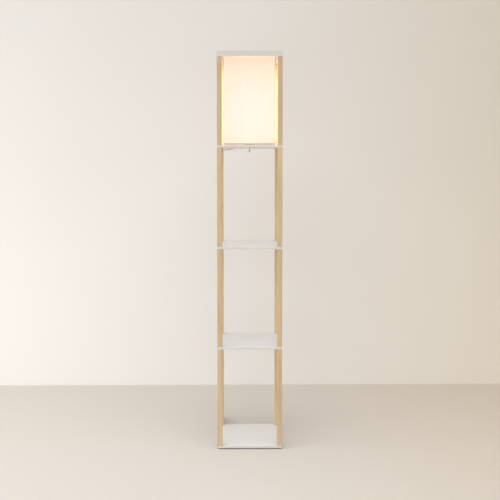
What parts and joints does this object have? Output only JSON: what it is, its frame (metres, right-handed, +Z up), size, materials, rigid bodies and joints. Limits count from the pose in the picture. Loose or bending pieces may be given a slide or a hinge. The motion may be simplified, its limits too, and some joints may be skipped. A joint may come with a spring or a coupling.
{
  "type": "shelf floor lamp",
  "caption": "Square wooden shelf floor lamp: slim natural posts carry white shelves and a box shade lit from inside, with a pull-chain lamp holder under it.",
  "frame": {"origin": "on the floor, at the middle of the square footprint (without the put-away lead)", "axes": "+Z up, +X to the right as seen from the front, +Y from the front to the rear, where the lead runs down the rear-left leg"},
  "size_m": [0.2687, 0.3817, 1.596],
  "materials": {
    "posts_wood": "natural wood, satin varnish",
    "white_lacquer": "white lacquered fibreboard, satin",
    "dowel_wood": "raw beech",
    "foot_felt": "pressed felt",
    "zinc_steel": "zinc plated",
    "holder_white": "moulded off-white plastic",
    "liner_board": "pressed insulating board",
    "brass": "drawn brass",
    "chain_nickel": "nickel plated",
    "bulb_white": "moulded white",
    "bulb_diffuser": "opal diffuser",
    "emitter_aluminium": "white coated board",
    "shade_fabric": "off-white fabric on a clear liner",
    "ring_white": "white powder coat",
    "lead_white": "white PVC"
  },
  "bodies": {
    "stand": {"post_lower_front_left": "posts_wood", "post_lower_front_right": "posts_wood", "post_lower_rear_left": "posts_wood", "post_lower_rear_right": "posts_wood", "post_middle_front_left": "posts_wood", "post_middle_front_right": "posts_wood", "post_middle_rear_left": "posts_wood", "post_middle_rear_right": "posts_wood", "post_upper_front_left": "posts_wood", "post_upper_front_right": "posts_wood", "post_upper_rear_left": "posts_wood", "post_upper_rear_right": "posts_wood", "post_lamp_front_left": "posts_wood", "post_lamp_front_right": "posts_wood", "post_lamp_rear_left": "posts_wood", "post_lamp_rear_right": "posts_wood", "base_shelf": "white_lacquer", "lower_shelf": "white_lacquer", "upper_shelf": "white_lacquer", "lamp_frame": "white_lacquer", "top_rail_front": "white_lacquer", "top_rail_rear": "white_lacquer", "top_rail_left": "white_lacquer", "top_rail_right": "white_lacquer", "top_dowels": "dowel_wood", "foot_pads": "foot_felt", "joint_studs": "zinc_steel", "base_bolts": "zinc_steel", "thread_inserts": "zinc_steel", "top_screws": "zinc_steel", "small_screws": "zinc_steel", "holder_strap": "zinc_steel", "lock_nut": "zinc_steel", "threaded_nipple": "zinc_steel", "lever_pin": "zinc_steel", "holder_cap": "holder_white", "holder_shell": "holder_white", "switch_body": "holder_white", "holder_liner": "liner_board", "screw_shell": "brass", "centre_contact": "brass", "plug_blades": "chain_nickel", "shade_cover": "shade_fabric", "shade_top_ring": "ring_white", "shade_bottom_ring": "ring_white", "shade_clips": "ring_white", "mains_lead": "lead_white", "lead_coil": "lead_white", "plug_body": "lead_white", "lead_bush": "lead_white", "lead_clips": "lead_white", "coil_tie": "lead_white"},
    "bulb": {"bulb_cap": "chain_nickel", "bulb_contact": "brass", "bulb_housing": "bulb_white", "bulb_globe": "bulb_diffuser", "emitter_plate": "emitter_aluminium"},
    "lever": {"pull_lever": "brass"},
    "chain": {"pull_chain": "chain_nickel", "chain_bell": "chain_nickel"}
  },
  "joints": [
    {"name": "bulb_turn", "type": "hinge", "parent": "stand", "child": "bulb", "pos_m": [0, 0, 1.2657], "axis": [0, 0, 1], "range_deg": [0, 900]},
    {"name": "switch_pull", "type": "hinge", "parent": "stand", "child": "lever", "pos_m": [0, -0.009, 1.2524], "axis": [1, 0, 0], "range_deg": [0, 18], "stiffness_Nm_per_rad": 0.05, "springref_deg": -11.46},
    {"name": "chain_swing", "type": "hinge", "parent": "lever", "child": "chain", "pos_m": [0, -0.034, 1.2524], "axis": [1, 0, 0], "range_deg": [-30, 8]}
  ]
}
